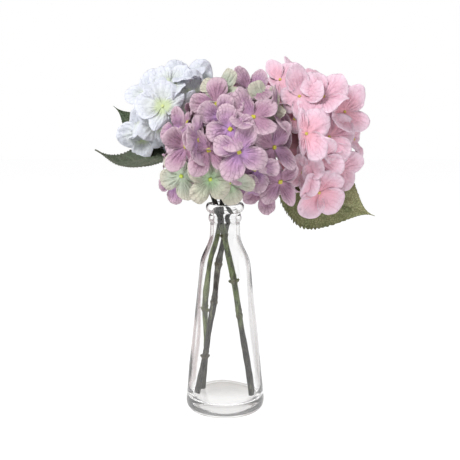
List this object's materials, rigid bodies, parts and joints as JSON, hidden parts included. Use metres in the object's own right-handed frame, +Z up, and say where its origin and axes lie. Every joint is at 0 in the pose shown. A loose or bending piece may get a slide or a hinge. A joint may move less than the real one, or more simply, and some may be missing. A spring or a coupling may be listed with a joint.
{
  "type": "artificial hydrangea bunch in a glass bottle",
  "caption": "Silk hydrangea heads on moulded stems, with serrated leaves, standing in a clear narrow-mouthed glass bottle.",
  "frame": {"origin": "centre of the bottle's flat base, on the surface that it stands on", "axes": "+Z up along the bottle's axis, the bunch's front faces -Y, the pink head leans towards +X"},
  "size_m": [0.2793, 0.1876, 0.3574],
  "materials": {
    "glass": "clear, smooth",
    "stem": "moulded, satin, darker at the foot",
    "white_petals": "pressed silk cloth",
    "mauve_petals": "pressed silk cloth",
    "pink_petals": "pressed silk cloth",
    "pale_petals": "pressed silk cloth",
    "peg": "moulded",
    "stalk": "moulded",
    "leaf": "printed silk cloth with pressed veins"
  },
  "bodies": {
    "root": {"glass_bottle": "glass", "stem_white": "stem", "stem_mauve": "stem", "stem_pink": "stem", "head_white": "white_petals", "head_mauve": "mauve_petals", "head_pink": "pink_petals", "leaf_left": "leaf", "leaf_left_back": "leaf", "leaf_right": "leaf"}
  },
  "joints": []
}
